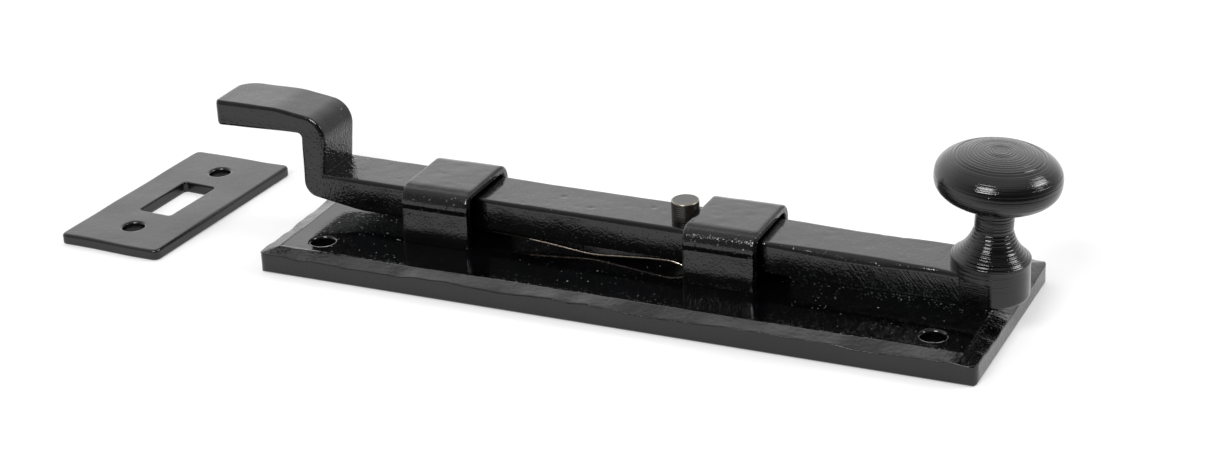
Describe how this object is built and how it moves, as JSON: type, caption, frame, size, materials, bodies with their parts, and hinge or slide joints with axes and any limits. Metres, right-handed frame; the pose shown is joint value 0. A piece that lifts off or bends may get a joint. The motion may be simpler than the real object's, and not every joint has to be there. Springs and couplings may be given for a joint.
{
  "type": "cranked door bolt",
  "caption": "Cranked flat door bolt: forged bar with a turned knob sliding in riveted staples on a bevelled backplate, with stop pin, leaf spring and a loose slotted keep plate.",
  "frame": {"origin": "centre of the backplate's underside, the face that lies against the door", "axes": "+X along the bar towards its knob, +Z away from the door, +Y across the plate"},
  "size_m": [0.2786, 0.0672, 0.0501],
  "materials": {
    "plate_enamel": "gloss black enamel over forged steel",
    "staple_enamel": "gloss black enamel over forged steel, pitted at the bends",
    "bar_enamel": "gloss black enamel over forged steel",
    "knob_enamel": "gloss black enamel over turned steel with fine turning rings",
    "keep_enamel": "semi-gloss black enamel over steel plate",
    "pin_steel": "blackened steel, thinly painted, bright at its rim",
    "spring_steel": "bare spring steel strip"
  },
  "bodies": {
    "plate": {"backplate": "plate_enamel", "left_staple": "staple_enamel", "right_staple": "staple_enamel"},
    "bolt": {"bolt_bar": "bar_enamel", "stop_pin": "pin_steel", "leaf_spring": "spring_steel", "spring_rivet": "bar_enamel", "knob": "knob_enamel"},
    "keep": {"keep_plate": "keep_enamel"}
  },
  "joints": [
    {"name": "bolt_slide", "type": "slide", "parent": "plate", "child": "bolt", "axis": [-1, 0, 0], "range_m": [0, 0.0485]},
    {"name": "keep_lift", "type": "slide", "parent": "plate", "child": "keep", "axis": [0, 0, 1], "range_m": [0, 0.05]}
  ]
}
